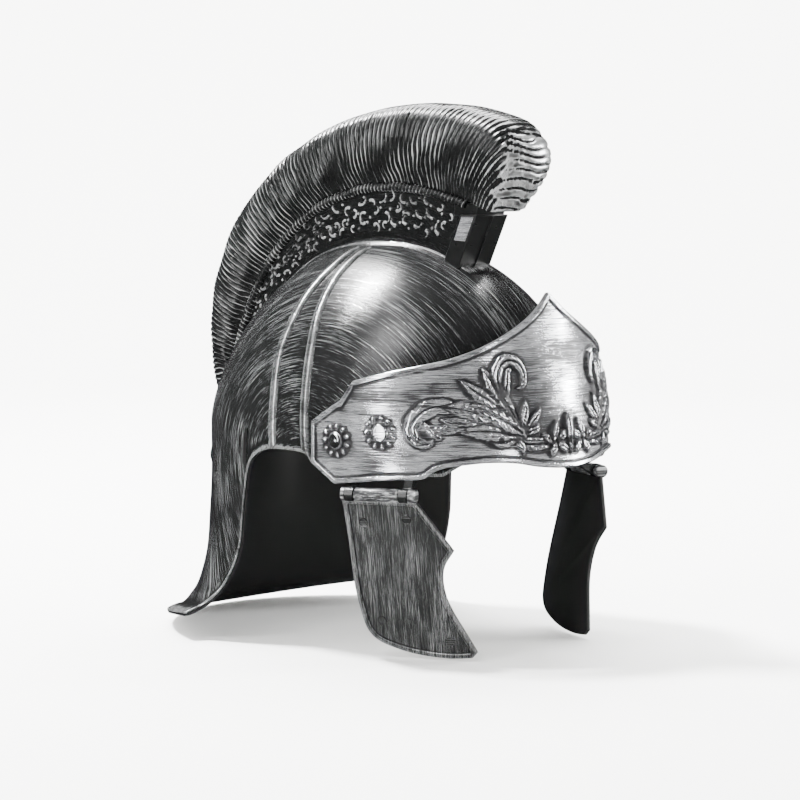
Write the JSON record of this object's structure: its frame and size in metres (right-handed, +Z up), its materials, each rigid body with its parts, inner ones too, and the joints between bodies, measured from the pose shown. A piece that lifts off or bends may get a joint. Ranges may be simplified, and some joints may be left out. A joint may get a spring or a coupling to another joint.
{
  "type": "roman helmet",
  "caption": "Costume helmet with an arched ridged crest, a swept neck guard, a lifting visor with scroll relief and hinged cheek guards.",
  "frame": {"origin": "the highest point of the head hollow, where the crown rests on a head", "axes": "+Z up, the face looks along -Y, the wearer's right is -X"},
  "size_m": [0.236, 0.3015, 0.33],
  "materials": {
    "dome_shell": "black plastic dry-brushed with silver",
    "crest_black": "glossy black with silver on the raised scrolls",
    "plume_black": "glossy black with silver on the ridges",
    "visor_silver": "silver brushed along the band over black",
    "guard_silver": "black plastic with brushed silver and a bright rim",
    "rivet_silver": "bright silver"
  },
  "bodies": {
    "helmet": {"skull": "dome_shell", "crest_holder": "crest_black", "plume": "plume_black", "pivot_rivet_right": "rivet_silver", "pivot_rivet_left": "rivet_silver"},
    "visor": {"visor": "visor_silver"},
    "cheek_guard_right": {"cheek_guard_right": "guard_silver"},
    "cheek_guard_left": {"cheek_guard_left": "guard_silver"}
  },
  "joints": [
    {"name": "visor_lift", "type": "hinge", "parent": "helmet", "child": "visor", "pos_m": [0, -0.046, -0.1138], "axis": [-1, 0, 0], "range_deg": [0, 24]},
    {"name": "cheek_guard_right_swing", "type": "hinge", "parent": "helmet", "child": "cheek_guard_right", "pos_m": [-0.097, -0.075, -0.1443], "axis": [-0.4067, 0.9135, 0], "range_deg": [-20, 75]},
    {"name": "cheek_guard_left_swing", "type": "hinge", "parent": "helmet", "child": "cheek_guard_left", "pos_m": [0.097, -0.075, -0.1443], "axis": [-0.4067, -0.9135, 0], "range_deg": [-20, 75]}
  ]
}
